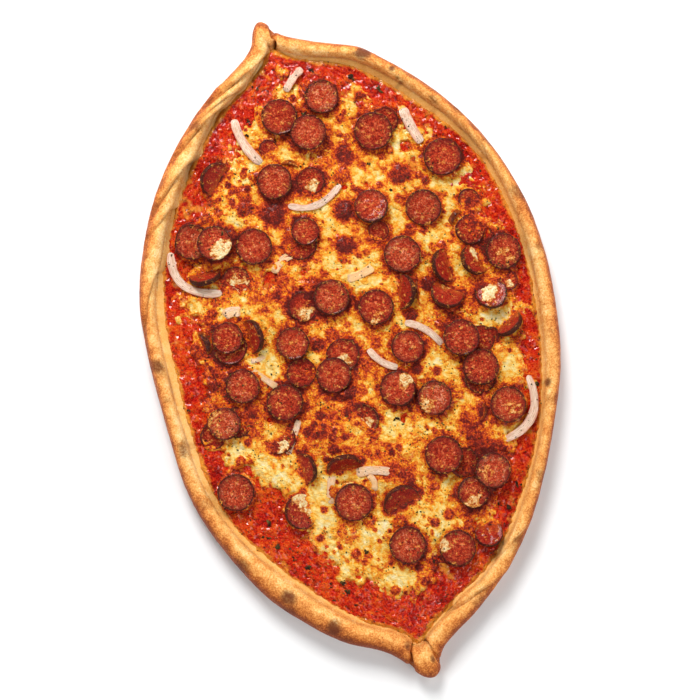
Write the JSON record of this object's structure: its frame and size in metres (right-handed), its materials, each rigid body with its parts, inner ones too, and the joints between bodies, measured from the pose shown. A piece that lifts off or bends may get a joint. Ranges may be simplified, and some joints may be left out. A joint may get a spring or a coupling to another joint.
{
  "type": "turkish pide",
  "caption": "Boat-shaped Turkish flatbread with a rolled browned rim, tomato sauce, melted cheese, round sausage slices and onion strips.",
  "frame": {"origin": "centre of the bounding box on plan, on the flat underside", "axes": "+Z up out of the toppings, +Y along the length towards the narrower nub, +X to the right when +Y points up on plan"},
  "size_m": [0.229, 0.3796, 0.0181],
  "materials": {
    "dough": "baked, matte with a slight sheen, browned in spots",
    "sauce": "wet and glossy, coarse",
    "cheese": "melted, oily gloss, blistered",
    "sausage": "granular cut face with a dark rind, slightly oily",
    "onion": "translucent, softened, satin"
  },
  "bodies": {
    "root": {"crust": "dough", "sauce": "sauce", "cheese": "cheese", "sausage_slice_01": "sausage", "sausage_slice_02": "sausage", "sausage_slice_03": "sausage", "sausage_slice_04": "sausage", "sausage_slice_05": "sausage", "sausage_slice_06": "sausage", "sausage_slice_07": "sausage", "sausage_slice_08": "sausage", "sausage_slice_09": "sausage", "sausage_slice_10": "sausage", "sausage_slice_11": "sausage", "sausage_slice_12": "sausage", "sausage_slice_13": "sausage", "sausage_slice_14": "sausage", "sausage_slice_15": "sausage", "sausage_slice_16": "sausage", "sausage_slice_17": "sausage", "sausage_slice_18": "sausage", "sausage_slice_19": "sausage", "sausage_slice_20": "sausage", "sausage_slice_21": "sausage", "sausage_slice_22": "sausage", "sausage_slice_23": "sausage", "sausage_slice_24": "sausage", "sausage_slice_25": "sausage", "sausage_slice_26": "sausage", "sausage_slice_27": "sausage", "sausage_slice_28": "sausage", "sausage_slice_29": "sausage", "sausage_slice_30": "sausage", "sausage_slice_31": "sausage", "sausage_slice_32": "sausage", "sausage_slice_33": "sausage", "sausage_slice_34": "sausage", "sausage_slice_35": "sausage", "sausage_slice_36": "sausage", "sausage_slice_37": "sausage", "sausage_slice_38": "sausage", "sausage_slice_39": "sausage", "sausage_slice_40": "sausage", "sausage_slice_41": "sausage", "sausage_slice_42": "sausage", "sausage_slice_43": "sausage", "sausage_slice_44": "sausage", "sausage_slice_45": "sausage", "sausage_slice_46": "sausage", "sausage_slice_47": "sausage", "sausage_slice_48": "sausage", "sausage_slice_49": "sausage", "onion_strip_1": "onion", "onion_strip_2": "onion", "onion_strip_3": "onion", "onion_strip_4": "onion", "onion_strip_5": "onion", "onion_strip_6": "onion", "onion_strip_7": "onion", "onion_strip_8": "onion"}
  },
  "joints": []
}
